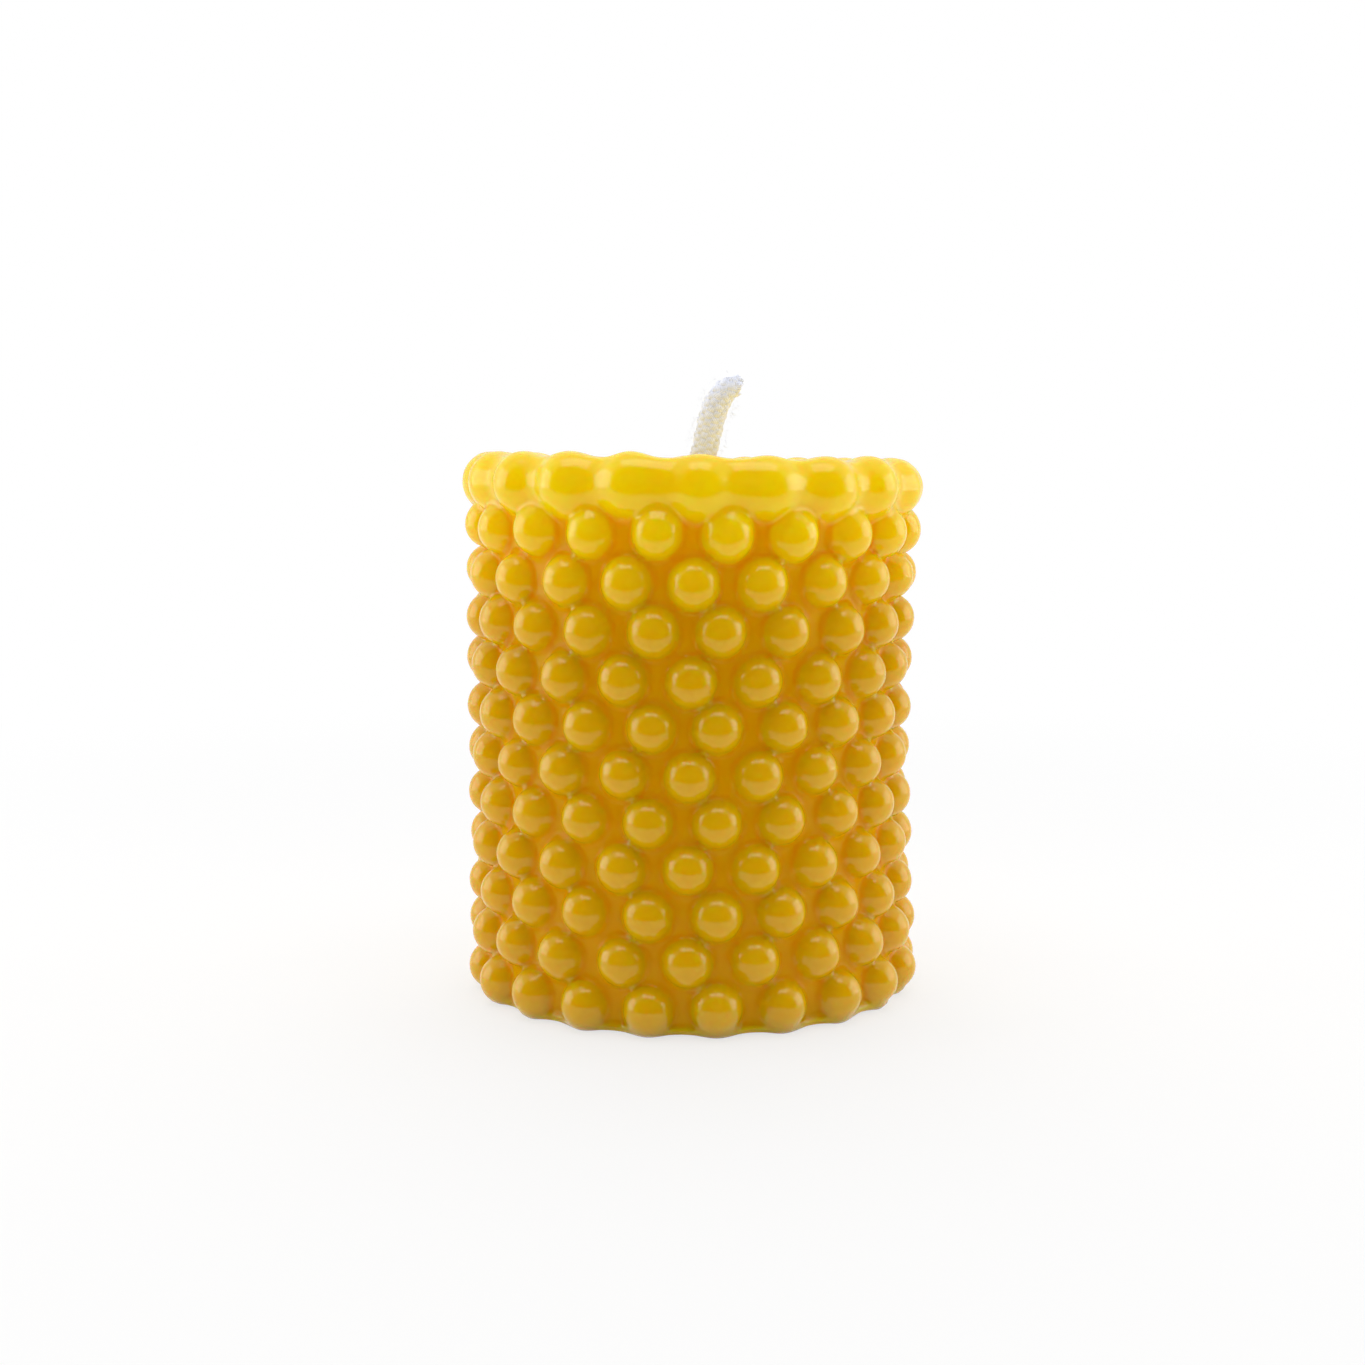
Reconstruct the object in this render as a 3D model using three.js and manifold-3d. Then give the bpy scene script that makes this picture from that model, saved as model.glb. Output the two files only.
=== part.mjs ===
// A cast pillar candle with round beads all over its wall, and its wick.
// Millimetres, +Z up. The origin is the middle of the base and the front faces -Y.
// An angle on the wall is measured round +Z from the front, and grows towards +X.

import * as THREE from 'three';
import { mergeVertices } from 'three/addons/utils/BufferGeometryUtils.js';
import Module from 'manifold-3d';

// Wax as cast: its height to the crest of the rim and its radius over the beads at the rim,
// and how far the beads draw in from that radius at the waist and at the base
const candleHeight = 73.6;
const candleRadius = 31.55;
const waistInset = 0.95;
const baseInset = 0.2;

// Pattern of the beads: rows from the base up, the share of a step by which every second row is
// set on, and how far each row turns on the one below
const beadRows = 12;
const beadsPerRow = 20;
const rowStaggerShare = 0.418;
const rowTwistDegrees = 0.27;

// Beads, and how far they stand out of the plain wall
const beadRadius = 3.3;
const beadStandOut = 3.1;

// The uppermost row is a rim of larger beads, set a little lower than its place in the pattern.
// They stand out of a round band that closes the gaps between them.
const rimBeadRadius = 3.9;
const rimStandOut = 1.5;
const rimBandRadius = 3.25;
const rimDrop = 0.3;

// Flat faces: the lowest row stands over the base, and the top lies below the rim's crest
const lowestRowHeight = 3.49;
const topBelowCrest = 0.95;

// How far the middle of the casting bows towards -X from its two ends, how far its top leans down
// towards +X and towards the back, and how far the lowest row leans down towards -X
const bow = 0.55;
const topTiltDegrees = 0.92;
const topSlopeDegrees = 1.8;
const lowTiltDegrees = 0.5;

// Wick, the clearance round it in the wax, and its height off the surface below the base
const wickDiameter = 2.6;
const wickClearance = 0.3;
const wickLift = 0.4;

// Where the wick leaves the top, then its free end, as X and height above the top
const wickExitX = 1.3;
const wickFreeEnd = [
  [1.95, 3.5],
  [2.3, 5.2],
  [2.72, 6.7],
  [3.25, 8.0],
  [4.0, 9.1],
  [5.0, 9.8],
  [6.1, 10.1],
];

// Fineness of the faces: each bead's rings, from its crown out to its foot, and the rest
const beadRings = [
  { points: 5, reach: 0.6 },
  { points: 10, reach: 0.95 },
];
const rimBeadSides = 8;
const rimBeadBands = 6;
const wickSides = 10;
const wickSteps = 34;
const straightPoints = 5;

// How far the cutting solids reach past what they cut, and how near two points are one
const cutMargin = 5;
const mergeDistance = 1e-4;

// Sizes that follow from the ones above
const beadStep = (2 * Math.PI) / beadsPerRow;
const rowTwist = THREE.MathUtils.degToRad(rowTwistDegrees);
const topTilt = THREE.MathUtils.degToRad(topTiltDegrees);
const topSlope = THREE.MathUtils.degToRad(topSlopeDegrees);
const lowTilt = THREE.MathUtils.degToRad(lowTiltDegrees);
const rimRow = beadRows - 1;
const rimHeight = candleHeight - rimBeadRadius;
const patternHeight = rimHeight + rimDrop - lowestRowHeight;
const rowPitch = patternHeight / rimRow;
const topHeight = candleHeight - topBelowCrest;

const wasm = await Module();
wasm.setup();

// A closed three.js geometry as a solid that can be joined and cut
function toSolid(geometry) {
  const bare = geometry.clone();
  bare.deleteAttribute('normal');
  bare.deleteAttribute('uv');
  const merged = mergeVertices(bare, mergeDistance);
  return new wasm.Manifold(new wasm.Mesh({
    numProp: 3,
    vertProperties: new Float32Array(merged.attributes.position.array),
    triVerts: new Uint32Array(merged.index.array),
  }));
}

function toGeometry(solid) {
  const mesh = solid.getMesh();
  const geometry = new THREE.BufferGeometry();
  geometry.setAttribute('position', new THREE.BufferAttribute(mesh.vertProperties, 3));
  geometry.setIndex(new THREE.BufferAttribute(mesh.triVerts, 1));
  geometry.computeVertexNormals();
  return geometry;
}

// Height as a share: -1 at the lowest row of beads, 1 at the uppermost, and no more past them
function heightShare(height) {
  const share = (height - lowestRowHeight) / (patternHeight / 2) - 1;
  return THREE.MathUtils.clamp(share, -1, 1);
}

// Radius over the beads, which draws in at the waist
function crownRadius(height) {
  const share = heightShare(height);
  const endInset = share > 0 ? 0 : baseInset;
  return candleRadius - waistInset + (waistInset - endInset) * share ** 2;
}

// The bow moves each level sideways
function levelShift(height) {
  return -bow * (1 - heightShare(height) ** 2);
}

// Rise of a level for each millimetre towards +X, and for each towards the back. The levels lean
// more and more from the middle to both ends.
function levelTilt(height) {
  const share = heightShare(height);
  return share > 0 ? -share * Math.tan(topTilt) : -share * Math.tan(lowTilt);
}

function levelSlope(height) {
  return -Math.tan(topSlope) * Math.max(heightShare(height), 0) ** 2;
}

// A point of the casting, from its place on a straight one
function placed(angle, radius, height) {
  const x = radius * Math.sin(angle);
  const y = -radius * Math.cos(angle);
  const level = height + x * levelTilt(height) + y * levelSlope(height);
  return new THREE.Vector3(x + levelShift(height), y, level);
}

// Every second row is set on by almost half a step
function rowStagger(row) {
  return (rimRow - row) % 2 === 0 ? 0 : rowStaggerShare;
}

function beadAngle(row, index) {
  return (index + rowStagger(row)) * beadStep + rowTwist * (row - rimRow / 2);
}

function rowHeight(row) {
  return lowestRowHeight + row * rowPitch;
}

// Angle from a bead to the middle of the two beads over it
function leanOver(row) {
  const towardsMiddle = rowStagger(row) === 0 ? -beadStep / 2 : beadStep / 2;
  return beadAngle(row + 1, 0) - beadAngle(row, 0) + towardsMiddle;
}

// Radius of the band between the beads of the rim, which bulges below the rim's middle and goes
// straight up from there
function bandRadius(height) {
  const drop = Math.max(rimHeight - height, 0);
  const room = Math.max(rimBandRadius ** 2 - drop ** 2, 0);
  return candleRadius - rimStandOut - rimBandRadius + Math.sqrt(room);
}

// Distance from the axis to the wax: the plain wall, or the face of a bead or of the rim's band
// that stands out of it. The beads of the rim are added as whole spheres, so they aren't in this.
function waxRadius(angle, height) {
  let radius = Math.max(crownRadius(height) - beadStandOut, bandRadius(height));
  const nearest = Math.round((height - lowestRowHeight) / rowPitch);
  const first = Math.max(nearest - 1, 0);
  const last = Math.min(nearest + 1, rimRow - 1);
  for (let row = first; row <= last; row += 1) {
    const centreRadius = crownRadius(rowHeight(row)) - beadRadius;
    const steps = (angle - beadAngle(row, 0)) / beadStep;
    const across = (steps - Math.round(steps)) * beadStep;
    const rise = height - rowHeight(row);
    const room = beadRadius ** 2 - rise ** 2 - (centreRadius * Math.sin(across)) ** 2;
    if (room > 0) {
      radius = Math.max(radius, centreRadius * Math.cos(across) + Math.sqrt(room));
    }
  }
  return radius;
}

// The beaded wall as one closed surface. Each bead is a dome of rings in a six-sided cell, and
// three cells meet at each valley between beads. Rows of plain cells carry the wall past its
// flat faces, which are cut later.
function beadedWall() {
  const firstRow = -1;
  const lastRow = beadRows;
  const positions = [];
  const triangles = [];

  function addPoint(angle, radius, height) {
    positions.push(...placed(angle, radius, height).toArray());
    return positions.length / 3 - 1;
  }

  function addWaxPoint(angle, height) {
    return addPoint(angle, waxRadius(angle, height), height);
  }

  // Triangles from one point to a closed loop of points
  function addFan(centre, loop) {
    loop.forEach((point, i) => triangles.push(centre, point, loop[(i + 1) % loop.length]));
  }

  // Triangles between two closed loops of points round the same centre. Both are evenly
  // spread and start half a step on from the same direction.
  function addBand(inner, outer) {
    let i = 0;
    let o = 0;
    while (i < inner.length || o < outer.length) {
      const from = [inner[i % inner.length], outer[o % outer.length]];
      const innerIsNext = (i + 1.5) / inner.length < (o + 1.5) / outer.length;
      if (innerIsNext) {
        i += 1;
        triangles.push(...from, inner[i % inner.length]);
      } else {
        o += 1;
        triangles.push(...from, outer[o % outer.length]);
      }
    }
  }

  // Each bead has a valley over it and another over the gap on its right, each in the middle of
  // the three beads round it
  const valleys = [];
  for (let row = firstRow - 1; row <= lastRow; row += 1) {
    valleys[row] = Array.from({ length: beadsPerRow }, (_, index) => {
      const angle = beadAngle(row, index);
      const height = rowHeight(row);
      const lean = leanOver(row);
      return {
        over: addWaxPoint(angle + (2 / 3) * lean, height + (2 / 3) * rowPitch),
        right: addWaxPoint(angle + beadStep / 2 + lean / 3, height + rowPitch / 3),
      };
    });
  }

  // The six valleys round a bead, counted from its upper right
  function cellCorners(row, index) {
    const before = (index + beadsPerRow - 1) % beadsPerRow;
    const after = (index + 1) % beadsPerRow;
    const [left, right] = rowStagger(row) === 0 ? [before, index] : [index, after];
    const below = valleys[row - 1];
    return [
      valleys[row][index].right,
      valleys[row][index].over,
      valleys[row][before].right,
      below[left].over,
      below[left].right,
      below[right].over,
    ];
  }

  // One ring of points on a bead, whose dome meets the wall at its foot
  function beadRing(row, index, { points, reach }) {
    const centreRadius = crownRadius(rowHeight(row)) - beadRadius;
    const sunk = Math.max(beadRadius - beadStandOut, 0);
    const ringRadius = reach * Math.sqrt(beadRadius ** 2 - sunk ** 2);
    return Array.from({ length: points }, (_, i) => {
      const turn = ((i + 0.5) / points) * 2 * Math.PI;
      const angle = beadAngle(row, index) + (ringRadius * Math.cos(turn)) / centreRadius;
      return addWaxPoint(angle, rowHeight(row) + ringRadius * Math.sin(turn));
    });
  }

  for (let row = firstRow; row <= lastRow; row += 1) {
    const hasBeads = row >= 0 && row < rimRow;
    for (let index = 0; index < beadsPerRow; index += 1) {
      const crown = addWaxPoint(beadAngle(row, index), rowHeight(row));
      const rings = hasBeads ? beadRings.map((ring) => beadRing(row, index, ring)) : [];
      rings.push(cellCorners(row, index));
      addFan(crown, rings[0]);
      for (let i = 1; i < rings.length; i += 1) addBand(rings[i - 1], rings[i]);
    }
  }

  // A fan to the axis closes each end
  const lowerEdge = valleys[firstRow - 1].flatMap(({ over, right }) => [over, right]);
  const upperEdge = valleys[lastRow].flatMap(({ over, right }) => [over, right]);
  addFan(addPoint(0, 0, rowHeight(firstRow - 1)), lowerEdge.reverse());
  addFan(addPoint(0, 0, rowHeight(lastRow + 1)), upperEdge);

  const geometry = new THREE.BufferGeometry();
  geometry.setAttribute('position', new THREE.Float32BufferAttribute(positions, 3));
  geometry.setIndex(triangles);
  return geometry;
}

// The space between the base plane and the flat top, which leans with the rim
function flatFaces() {
  const width = 2 * (candleRadius + cutMargin);
  const block = new THREE.BoxGeometry(width, width, topHeight).translate(0, 0, topHeight / 2);
  const corners = block.attributes.position;
  for (let i = 0; i < corners.count; i += 1) {
    const isUpper = corners.getZ(i) > topHeight / 2;
    const lean = corners.getX(i) * levelTilt(topHeight) + corners.getY(i) * levelSlope(topHeight);
    corners.setZ(i, isUpper ? topHeight + lean : 0);
  }
  return block;
}

// A larger bead of the rim, with its poles upright and a corner of its equator facing out
function rimBead(index) {
  const angle = beadAngle(rimRow, index);
  const centre = placed(angle, candleRadius - rimBeadRadius, rimHeight);
  return new THREE.SphereGeometry(rimBeadRadius, rimBeadSides, rimBeadBands, Math.PI / 2)
    .rotateX(Math.PI / 2)
    .rotateZ(angle)
    .translate(...centre.toArray());
}

// A round bar along a curve
function roundBar(curve, radius, steps) {
  const section = new THREE.Shape();
  for (let i = 0; i < wickSides; i += 1) {
    const turn = (i / wickSides) * 2 * Math.PI;
    const corner = [radius * Math.cos(turn), radius * Math.sin(turn)];
    if (i === 0) section.moveTo(...corner);
    else section.lineTo(...corner);
  }
  section.closePath();
  return new THREE.ExtrudeGeometry(section, { extrudePath: curve, steps, bevelEnabled: false });
}

// The line of the wick inside the wax, at a height
function wickInWax(height) {
  return new THREE.Vector3((wickExitX * height) / topHeight, 0, height);
}

function waxGeometry() {
  const channelLine = new THREE.LineCurve3(wickInWax(-cutMargin), wickInWax(topHeight + cutMargin));
  // The channel's flats, not its corners, clear the wick
  const channelRadius = (wickDiameter / 2 + wickClearance) / Math.cos(Math.PI / wickSides);
  let solid = toSolid(beadedWall()).intersect(toSolid(flatFaces()));
  for (let index = 0; index < beadsPerRow; index += 1) {
    solid = solid.add(toSolid(rimBead(index)));
  }
  solid = solid.subtract(toSolid(roundBar(channelLine, channelRadius, 1)));
  return toGeometry(solid);
}

function wickGeometry() {
  const points = [];
  for (let i = 0; i < straightPoints; i += 1) {
    const share = i / (straightPoints - 1);
    points.push(wickInWax(wickLift + share * (topHeight - wickLift)));
  }
  for (const [x, height] of wickFreeEnd) {
    points.push(new THREE.Vector3(x, 0, topHeight + height));
  }
  const route = new THREE.CatmullRomCurve3(points, false, 'centripetal');
  return roundBar(route, wickDiameter / 2, wickSteps);
}

function waxMaterial() {
  return new THREE.MeshStandardMaterial({ color: 0xe3a91c, roughness: 0.35, metalness: 0 });
}

function wickMaterial() {
  return new THREE.MeshStandardMaterial({ color: 0xf1efec, roughness: 0.9, metalness: 0 });
}

const waxBody = new THREE.Mesh(waxGeometry(), waxMaterial());
waxBody.name = 'wax_body';

const wick = new THREE.Mesh(wickGeometry(), wickMaterial());
wick.name = 'wick';

const group = new THREE.Group();
group.add(waxBody, wick);

export default group;
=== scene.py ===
# The looks of a cast pillar candle whose wall is covered in round beads, and of its braided wick.
# Lengths are in metres, in the frame of the packed part: +Z is up, the front faces -Y, and the
# origin is the middle of the base. An angle is measured round +Z from the front, and grows
# towards +X.

import math

import bpy
import numpy as np
from bpy.props import (
    FloatProperty,
    FloatVectorProperty,
    IntProperty,
    PointerProperty,
)
from mathutils import Matrix, Vector


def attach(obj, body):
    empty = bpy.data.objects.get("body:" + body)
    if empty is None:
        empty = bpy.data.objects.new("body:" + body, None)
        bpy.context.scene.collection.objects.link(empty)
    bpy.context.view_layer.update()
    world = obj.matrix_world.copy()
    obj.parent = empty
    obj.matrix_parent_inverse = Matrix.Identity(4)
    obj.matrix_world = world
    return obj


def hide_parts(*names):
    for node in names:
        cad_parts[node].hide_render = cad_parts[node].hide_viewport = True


bl_info = {
    "name": "Beaded Pillar Candle",
    "version": (1, 0, 0),
    "blender": (4, 5, 0),
    "location": "3D View > Sidebar > Candle",
    "description": "Cast beeswax pillar with a beaded wall, its braided wick and a plain studio",
    "category": "Add Mesh",
}

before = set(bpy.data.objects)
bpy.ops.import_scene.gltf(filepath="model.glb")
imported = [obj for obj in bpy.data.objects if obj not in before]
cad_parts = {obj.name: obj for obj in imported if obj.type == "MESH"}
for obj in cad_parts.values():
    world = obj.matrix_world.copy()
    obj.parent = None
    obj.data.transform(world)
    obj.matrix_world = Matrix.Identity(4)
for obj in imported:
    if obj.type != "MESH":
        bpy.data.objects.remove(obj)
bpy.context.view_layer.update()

MM = 0.001
FULL_TURN = 2 * math.pi

# The wick's free end in the packed part, as X and height above the wax's flat top
WICK_FREE_END = [
    (1.95 * MM, 3.5 * MM),
    (2.3 * MM, 5.2 * MM),
    (2.72 * MM, 6.7 * MM),
    (3.25 * MM, 8.0 * MM),
    (4.0 * MM, 9.1 * MM),
    (5.0 * MM, 9.8 * MM),
    (6.1 * MM, 10.1 * MM),
]

# How the wick's line is drawn: knots in the wax, points to a span, and the run past the cut
STRAIGHT_POINTS = 5
SPAN_POINTS = 40
PAST_CUT, PAST_CUT_POINTS = 3 * MM, 12

# The wax round the wick: how high it climbs, how far that reaches, and the open end of the channel
WAX_CLIMB = 0.75 * MM
CLIMB_REACH = 0.7 * MM
CHANNEL_WIDTH = 1.22
CHANNEL_DEPTH = 0.8 * MM

# A bead's scatter in size as a share of that in place, and the width of the foot's lifted edge
SIZE_SCATTER = 0.6
FOOT_EDGE = 3 * MM

# The height under which the base is still, and the slow waves of the surface over it
STILL_BASE = 1.5 * MM
WAVELENGTHS = (24 * MM, 17 * MM, 11 * MM, 8 * MM, 5.5 * MM, 3.6 * MM, 2.4 * MM)
WAVES_OF_A_LENGTH = 3

# Rays that look for the wax: where they start, and their rings by the wick and on plain parts
RAY_MARGIN, UNDER, OVER = 2 * MM, 1 * MM, 4 * MM
CORNER_REACH, CORNER_HEIGHT = 2.6 * MM, 2.2 * MM
BASE_BY_WICK = (0.35 * MM, 3.0 * MM, 0.3 * MM)
BASE_PLAIN_FROM, BASE_PLAIN_SHORT, BASE_PLAIN_RINGS = 4 * MM, 1.5 * MM, 9
RIM_INSIDE = 6 * MM
TOP_PLAIN_SHORT, TOP_PLAIN_TO, TOP_PLAIN_RINGS = 6.8 * MM, 5.2 * MM, 14
TOP_BY_WICK = (4.8 * MM, 0.25 * MM, -0.3 * MM)

# How the wax's surface is found: steps along a ray, steps of evening out, and the last steps
RAY_STEPS, RAY_CAUTION = 26, 0.92
SLIDE_STEPS, SLIDE_SHARE = 7, 0.55
SETTLE_STEPS = 2

# The least square of the field's slope, and a distance at which a form takes no part
FLATTEST_SLOPE = 0.25
FAR = 1.0

# The wick's strands: the space between rings, the sides of a ring, and the cut end
RING_STEP = 0.27 * MM
STRAND_SIDES = 10
FLARE_REACH = 2.6 * MM
CLOSING_REACH = 1.0 * MM
CLOSING_SHARE = 0.5
CUT_UNEVENNESS = (-0.12 * MM, 0.16 * MM)
SWELL, SWELL_LENGTH = 0.05, 1.7 * MM
WIDENING, THICKENING = 0.15, 0.2
CORE_CUT, CORE_GAP = 0.25 * MM, 0.05 * MM

# Loose fibres: how many stand out of each tip, where hairs start, and how they bend
TIP_FIBRES, TIP_SPREAD, TIP_SINK = 12, 0.9, 0.15 * MM
TIP_FIBRE_RADIUS, TIP_FIBRE_REACH, TIP_FIBRE_SCATTER = 0.05 * MM, (0.12 * MM, 0.5 * MM), 0.35
HAIR_RADIUS, HAIR_REACH, HAIR_SCATTER = 0.016 * MM, (0.2 * MM, 0.75 * MM), 0.9
HAIR_LOWEST, HAIR_ROOT = 0.5 * MM, 0.44
FIBRE_DROOP, FIBRE_TAPER = 0.12, 0.7

# Patches and relief too fine for the mesh, and the depths at which a valley's painted shade sets
# in, in its colour and in its gloss
WAX_PATCH, WAX_MOTTLE, WAX_GRAIN, WAX_GRAIN_DEPTH = 9 * MM, 2.2 * MM, 0.9 * MM, 0.02 * MM
YARN_BLOTCH, PLY_LENGTH, PLY_DEPTH = 1.6 * MM, 0.5 * MM, 0.05 * MM
VALLEY_SHADE_FROM, VALLEY_GLOSS_SHADE_FROM = 0.7, 0.75

# The studio: the floor, and where each softbox stands and how wide and high it is
FLOOR_SIZE = 8.0
FLOOR_DROP = 0.05 * MM
SHADOW_FROM, SHADOW_TO = 0.10, 0.30
GLOSS_FLOOR_FROM, GLOSS_FLOOR_TO = -0.15, -0.08
OVERHEAD_PLACE, OVERHEAD_SIZE = (0, -0.08, 0.42), (0.36, 0.20)
SIDE_PLACE, SIDE_SIZE = (0.42, 0.02, 0.14), (0.35, 0.30)
LAMP_TARGET = (0, 0, 40 * MM)


def length(name, description, default, low=0.0):
    """A size in metres."""
    return FloatProperty(
        name=name,
        description=description,
        default=default,
        min=low,
        precision=5,
        unit="LENGTH",
        subtype="DISTANCE",
    )


def angle(name, description, degrees):
    """An angle, given here in degrees."""
    return FloatProperty(
        name=name,
        description=description,
        default=math.radians(degrees),
        unit="ROTATION",
        subtype="ANGLE",
    )


def share(name, description, default, high=1.0):
    """A share or strength with no unit."""
    return FloatProperty(
        name=name, description=description, default=default, min=0.0, max=high
    )


def colour(name, description, default):
    """A linear colour."""
    return FloatVectorProperty(
        name=name,
        description=description,
        default=default,
        min=0.0,
        max=1.0,
        size=3,
        subtype="COLOR",
    )


class CandleWaxSizes(bpy.types.PropertyGroup):
    """Sizes of the wax, which follow the packed part"""

    height: length("Height", "From the base to the crest of the rim", 73.6 * MM)
    radius: length("Radius", "Over the beads at the rim", 31.55 * MM)
    waist_inset: length("Waist inset", "How far the beads draw in at the waist", 0.95 * MM)
    base_inset: length("Base inset", "How far the beads draw in at the base", 0.2 * MM)
    rows: IntProperty(name="Rows", description="Rows of beads", default=12, min=3)
    beads_per_row: IntProperty(
        name="Beads per row", description="Beads round each row", default=20, min=6
    )
    row_twist: angle("Row twist", "Turn of each row on the one below", 0.27)
    row_stagger: share("Row stagger", "Share of a step by which every second row is set on", 0.418)
    bead_radius: length("Bead radius", "Radius of a bead", 3.3 * MM)
    bead_stand_out: length(
        "Bead stand-out", "How far a bead stands out of the plain wall", 3.1 * MM
    )
    rim_bead_radius: length("Rim bead radius", "Radius of a bead of the rim", 3.9 * MM)
    rim_stand_out: length(
        "Rim stand-out", "How far a rim bead stands out of the band between them", 1.5 * MM
    )
    rim_band_radius: length("Rim band radius", "Radius of the band's section", 3.25 * MM)
    rim_drop: length("Rim drop", "How far the rim sits below its place in the rows", 0.3 * MM)
    lowest_row_height: length(
        "Lowest row height", "Height of the lowest row's middle over the base", 3.49 * MM
    )
    top_below_crest: length("Top below crest", "Depth of the flat top in the rim", 0.95 * MM)
    bow: length("Bow", "How far the middle bows towards -X", 0.55 * MM)
    top_tilt: angle("Top tilt", "How far the uppermost row and the top lean to +X", 0.92)
    top_slope: angle("Top slope", "How far the uppermost row and the top lean to the back", 1.8)
    low_tilt: angle("Low tilt", "How far the lowest row leans to -X", 0.5)
    fillet: length("Fillet", "Softness of the valleys between beads", 0.22 * MM)
    rim_fillet: length("Rim fillet", "Softness of the valleys between rim beads", 0.5 * MM)
    edge_fillet: length("Edge fillet", "Softness of the base's edge", 0.18 * MM)
    foot_radius: length("Foot radius", "Mean radius of the foot under the beads", 29.3 * MM)
    foot_scallop: length("Foot scallop", "How far the foot follows the lowest beads", 0.4 * MM)
    foot_height: length("Foot height", "Height of the foot", 1.2 * MM)
    foot_gap: length("Foot gap", "How far the foot's edge clears the floor between beads", 0.6 * MM)
    top_dish: length("Top dish", "How far the top sinks to its middle", 0.35 * MM)
    bead_scatter: length("Bead scatter", "How unevenly the beads came out", 0.09 * MM)
    unevenness: length("Unevenness", "Height of the slow waves in the surface", 0.035 * MM)
    face_size: length("Face size", "Width of the faces on the wall", 0.46 * MM, 0.1 * MM)


class CandleWickSizes(bpy.types.PropertyGroup):
    """Sizes of the wick, which follow the packed part"""

    diameter: length("Diameter", "Over the braid", 2.6 * MM)
    lift: length("Lift", "From the base's plane to the wick's lower end", 0.4 * MM)
    exit_x: length("Exit", "X at which the wick leaves the top", 1.3 * MM)
    strands: IntProperty(
        name="Strands", description="Strands that turn each way", default=5, min=2
    )
    lay: length("Lay", "Length in which a strand turns once", 4.6 * MM)
    strand_width: length("Strand width", "Width of a strand", 0.98 * MM)
    strand_thickness: length("Strand thickness", "Thickness of a strand", 0.52 * MM)
    weave: length("Weave", "How far a strand dips and rises at crossings", 0.12 * MM)
    flat_edge: length(
        "Flat edge", "How far a flat strand's edges stand out of the round", 0.28 * MM
    )
    flare: share("Flare", "How much the braid opens at its cut end", 0.8)
    cut_tilt: angle("Cut tilt", "How far the cut end turns down", 30.0)
    hairs: IntProperty(name="Hairs", description="Loose fibres on the braid", default=170, min=0)


class CandleWaxLook(bpy.types.PropertyGroup):
    """Finish of the wax"""

    crown: colour("Crown", "Colour of the beads", (0.69, 0.435, 0.0005))
    # Painted shade: the valley colour is a deeper orange between the beads, standing in for the
    # shade and inter-reflection there
    valley: colour("Valley", "Colour between the beads", (0.82, 0.39, 0.0003))
    # Painted light: the rim colours are paler towards the crest, standing in for light that comes
    # through the thin rim from above; the rim valley colour also carries the painted shade between
    # the rim beads
    rim: colour("Rim", "Colour at the rim, where light comes through", (0.99, 0.69, 0.001))
    rim_valley: colour("Rim valley", "Colour between the beads there", (0.95, 0.46, 0.0005))
    rim_light_reach: length("Rim depth", "How far down the light colour of the rim fades", 25 * MM)
    bloom: colour("Bloom", "Colour of the faint haze on old beeswax", (0.76, 0.50, 0.003))
    scatter_depth: length("Scatter depth", "How far red light travels in the wax", 6.0 * MM)
    scatter_shares: colour(
        "Scatter shares", "How far each colour travels, next to red", (1.0, 0.3, 0.05)
    )
    roughness: share("Roughness", "Mean roughness of the polished skin", 0.15)


class CandleWickLook(bpy.types.PropertyGroup):
    """Finish of the wick"""

    cotton: colour("Cotton", "Colour of the bleached yarn", (0.84, 0.87, 0.99))
    waxed: colour("Waxed", "Colour of yarn that has drawn up wax", (0.84, 0.74, 0.66))
    soak: length("Soak", "How far the wax has climbed", 2.4 * MM)
    # Painted light: a faint emission that stands in for light coming through the yarn from behind
    painted_glow: share("Glow", "Light that comes through the yarn from behind", 0.08)


class CandleStage(bpy.types.PropertyGroup):
    """Camera and studio"""

    distance: length("Distance", "From the camera to the candle's axis", 309.6 * MM)
    eye_height: length("Eye height", "Height of the camera over the floor", 81.7 * MM)
    heading: angle("Heading", "Turn of the camera towards -X", 0.14)
    offset: length("Offset", "How far the camera stands to the left of the axis", 1.5 * MM)
    pitch: angle("Pitch", "How far the camera looks down", 7.253)
    lens: FloatProperty(
        name="Lens",
        description="Focal length on a 36 mm sensor",
        default=59.41,
        min=1.0,
        unit="CAMERA",
    )
    behind: share("Behind", "Light from the white wall behind the candle", 2.0, 8.0)
    above: share("Above", "Light from the white ceiling, from its back half", 1.0, 8.0)
    before: share("Before", "Light from the room where the camera stands", 1.0, 8.0)
    mirrored: share("Mirrored", "How bright the gloss sees the walls", 0.8, 8.0)
    overhead: FloatProperty(
        name="Overhead", description="Power of the overhead lamp", default=0.5, unit="POWER"
    )
    sides: FloatProperty(
        name="Sides", description="Power of each side lamp", default=0.65, unit="POWER"
    )


# Shape of the wax


def smooth_min(distances, softness):
    """The joint surface of several distance fields, with a fillet where they meet."""
    stack = np.stack(distances)
    nearest = stack.min(axis=0)
    return nearest - softness * np.log(np.exp((nearest - stack) / softness).sum(axis=0))


def smooth_max(distances, softness):
    """What several distance fields have in common, with a fillet where they meet."""
    return -smooth_min([-d for d in distances], softness)


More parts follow.
